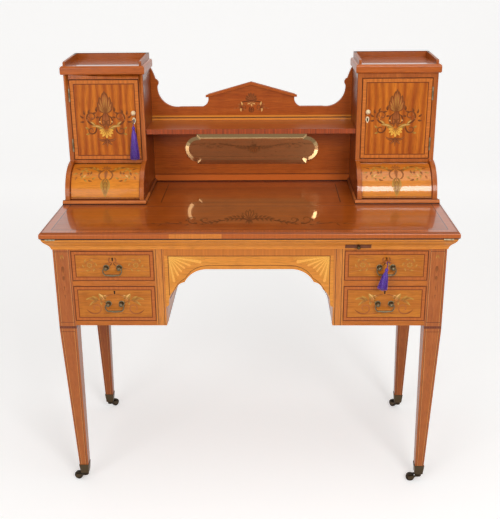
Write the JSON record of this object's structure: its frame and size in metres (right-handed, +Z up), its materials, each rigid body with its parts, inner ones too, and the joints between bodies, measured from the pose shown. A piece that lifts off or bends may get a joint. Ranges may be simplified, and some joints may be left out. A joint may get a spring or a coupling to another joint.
{
  "type": "writing desk",
  "caption": "Writing desk on tapered legs with drawer pedestals, a fold-over flap, and a stage of cupboards over cylinder-fronted compartments beside a shelf and mirror.",
  "frame": {"origin": "on the floor, at the middle of the overall box", "axes": "+Z up, the drawers and doors face -Y, +X to the right of a person facing the desk"},
  "size_m": [1.06, 0.54, 1.152],
  "materials": {
    "satinwood": "polished",
    "veneer": "polished, ribbon striped",
    "top_wood": "high polish",
    "inner_wood": "plain, unpolished",
    "leather": "tooled, satin",
    "mirror": "bevelled plate",
    "brass": "aged",
    "caster_bronze": "dark, worn",
    "tassel": "silk threads"
  },
  "bodies": {
    "carcase": {"leg_front_left": "satinwood", "leg_front_right": "satinwood", "leg_back_left": "satinwood", "leg_back_right": "satinwood", "pedestal_sides": "satinwood", "drawer_frames": "inner_wood", "back_panels": "inner_wood", "apron": "satinwood", "bed_board": "satinwood", "bed_leather": "leather", "rear_top": "top_wood", "cabinet_left": "satinwood", "cabinet_right": "satinwood", "cabinet_caps": "satinwood", "cabinet_galleries": "satinwood", "cabinet_plinths": "satinwood", "fixed_hinge_leaves": "brass", "back_board": "top_wood", "mirror": "mirror", "shelf": "top_wood", "caster_cups": "caster_bronze"},
    "flap": {"writing_flap": "top_wood", "flap_leather": "leather", "flap_hinge_leaves": "brass"},
    "loper": {"loper": "satinwood", "loper_knob": "brass"},
    "caster_front_left": {"caster_fork_front_left": "caster_bronze"},
    "wheel_front_left": {"caster_wheel_front_left": "caster_bronze"},
    "caster_front_right": {"caster_fork_front_right": "caster_bronze"},
    "wheel_front_right": {"caster_wheel_front_right": "caster_bronze"},
    "caster_back_left": {"caster_fork_back_left": "caster_bronze"},
    "wheel_back_left": {"caster_wheel_back_left": "caster_bronze"},
    "caster_back_right": {"caster_fork_back_right": "caster_bronze"},
    "wheel_back_right": {"caster_wheel_back_right": "caster_bronze"},
    "drawer_upper_left": {"drawer_front_upper_left": "veneer", "drawer_box_upper_left": "inner_wood", "handle_posts_upper_left": "brass"},
    "bail_upper_left": {"bail_upper_left": "brass"},
    "drawer_upper_right": {"drawer_front_upper_right": "veneer", "drawer_box_upper_right": "inner_wood", "handle_posts_upper_right": "brass"},
    "bail_upper_right": {"bail_upper_right": "brass"},
    "drawer_lower_left": {"drawer_front_lower_left": "veneer", "drawer_box_lower_left": "inner_wood", "handle_posts_lower_left": "brass"},
    "bail_lower_left": {"bail_lower_left": "brass"},
    "drawer_lower_right": {"drawer_front_lower_right": "veneer", "drawer_box_lower_right": "inner_wood", "handle_posts_lower_right": "brass"},
    "bail_lower_right": {"bail_lower_right": "brass"},
    "door_left": {"door_left": "veneer", "door_fittings_left": "brass"},
    "cylinder_front_left": {"cylinder_front_left": "veneer"},
    "door_right": {"door_right": "veneer", "door_fittings_right": "brass"},
    "cylinder_front_right": {"cylinder_front_right": "veneer"},
    "key_door": {"key_door": "brass"},
    "key_drawer": {"key_drawer": "brass"},
    "tassel_door": {"tassel_door": "tassel"},
    "tassel_drawer": {"tassel_drawer": "tassel"}
  },
  "joints": [
    {"name": "flap_hinge", "type": "hinge", "parent": "carcase", "child": "flap", "pos_m": [0, -0.2504, 0.74725], "axis": [1, 0, 0], "range_deg": [0, 180]},
    {"name": "loper_slide", "type": "slide", "parent": "carcase", "child": "loper", "axis": [0, -1, 0], "range_m": [0, 0.2]},
    {"name": "caster_swivel_front_left", "type": "hinge", "parent": "carcase", "child": "caster_front_left", "pos_m": [-0.476, -0.193, 0.023], "axis": [0, 0, 1], "continuous": true},
    {"name": "wheel_spin_front_left", "type": "hinge", "parent": "caster_front_left", "child": "wheel_front_left", "pos_m": [-0.49725, -0.18731, 0.012], "axis": [-0.2588, -0.9659, 0], "continuous": true},
    {"name": "caster_swivel_front_right", "type": "hinge", "parent": "carcase", "child": "caster_front_right", "pos_m": [0.476, -0.193, 0.023], "axis": [0, 0, 1], "continuous": true},
    {"name": "wheel_spin_front_right", "type": "hinge", "parent": "caster_front_right", "child": "wheel_front_right", "pos_m": [0.45421, -0.18994, 0.012], "axis": [-0.1392, -0.9903, 0], "continuous": true},
    {"name": "caster_swivel_back_left", "type": "hinge", "parent": "carcase", "child": "caster_back_left", "pos_m": [-0.476, 0.213, 0.023], "axis": [0, 0, 1], "continuous": true},
    {"name": "wheel_spin_back_left", "type": "hinge", "parent": "caster_back_left", "child": "wheel_back_left", "pos_m": [-0.46338, 0.23102, 0.012], "axis": [-0.8192, 0.5736, 0], "continuous": true},
    {"name": "caster_swivel_back_right", "type": "hinge", "parent": "carcase", "child": "caster_back_right", "pos_m": [0.476, 0.213, 0.023], "axis": [0, 0, 1], "continuous": true},
    {"name": "wheel_spin_back_right", "type": "hinge", "parent": "caster_back_right", "child": "wheel_back_right", "pos_m": [0.46338, 0.23102, 0.012], "axis": [-0.8192, -0.5736, 0], "continuous": true},
    {"name": "drawer_slide_upper_left", "type": "slide", "parent": "carcase", "child": "drawer_upper_left", "axis": [0, -1, 0], "range_m": [0, 0.26]},
    {"name": "bail_swing_upper_left", "type": "hinge", "parent": "drawer_upper_left", "child": "bail_upper_left", "pos_m": [-0.352, -0.234, 0.663], "axis": [-1, 0, 0], "range_deg": [0, 95]},
    {"name": "drawer_slide_upper_right", "type": "slide", "parent": "carcase", "child": "drawer_upper_right", "axis": [0, -1, 0], "range_m": [0, 0.26]},
    {"name": "bail_swing_upper_right", "type": "hinge", "parent": "drawer_upper_right", "child": "bail_upper_right", "pos_m": [0.352, -0.234, 0.663], "axis": [-1, 0, 0], "range_deg": [0, 35]},
    {"name": "drawer_slide_lower_left", "type": "slide", "parent": "carcase", "child": "drawer_lower_left", "axis": [0, -1, 0], "range_m": [0, 0.26]},
    {"name": "bail_swing_lower_left", "type": "hinge", "parent": "drawer_lower_left", "child": "bail_lower_left", "pos_m": [-0.352, -0.234, 0.562], "axis": [-1, 0, 0], "range_deg": [0, 95]},
    {"name": "drawer_slide_lower_right", "type": "slide", "parent": "carcase", "child": "drawer_lower_right", "axis": [0, -1, 0], "range_m": [0, 0.26]},
    {"name": "bail_swing_lower_right", "type": "hinge", "parent": "drawer_lower_right", "child": "bail_lower_right", "pos_m": [0.352, -0.234, 0.562], "axis": [-1, 0, 0], "range_deg": [0, 95]},
    {"name": "door_hinge_left", "type": "hinge", "parent": "carcase", "child": "door_left", "pos_m": [-0.5054, 0.1042, 0.9837], "axis": [0, 0, -1], "range_deg": [0, 105]},
    {"name": "cylinder_pivot_left", "type": "hinge", "parent": "carcase", "child": "cylinder_front_left", "pos_m": [-0.408, 0.107, 0.774], "axis": [-1, 0, 0], "range_deg": [0, 85]},
    {"name": "door_hinge_right", "type": "hinge", "parent": "carcase", "child": "door_right", "pos_m": [0.5054, 0.1042, 0.9837], "axis": [0, 0, 1], "range_deg": [0, 105]},
    {"name": "cylinder_pivot_right", "type": "hinge", "parent": "carcase", "child": "cylinder_front_right", "pos_m": [0.408, 0.107, 0.774], "axis": [-1, 0, 0], "range_deg": [0, 85]},
    {"name": "key_turn_door", "type": "hinge", "parent": "door_left", "child": "key_door", "pos_m": [-0.3282, 0.089, 0.982], "axis": [0, 1, 0], "range_deg": [0, 90]},
    {"name": "tassel_swing_door", "type": "hinge", "parent": "door_left", "child": "tassel_door", "pos_m": [-0.3282, 0.089, 0.982], "axis": [0, 1, 0], "range_deg": [-15, 15]},
    {"name": "key_turn_drawer", "type": "hinge", "parent": "drawer_upper_right", "child": "key_drawer", "pos_m": [0.352, -0.256, 0.686], "axis": [0, 1, 0], "range_deg": [0, 90]},
    {"name": "tassel_swing_drawer", "type": "hinge", "parent": "drawer_upper_right", "child": "tassel_drawer", "pos_m": [0.352, -0.256, 0.686], "axis": [0, 1, 0], "range_deg": [-20, 10]}
  ]
}
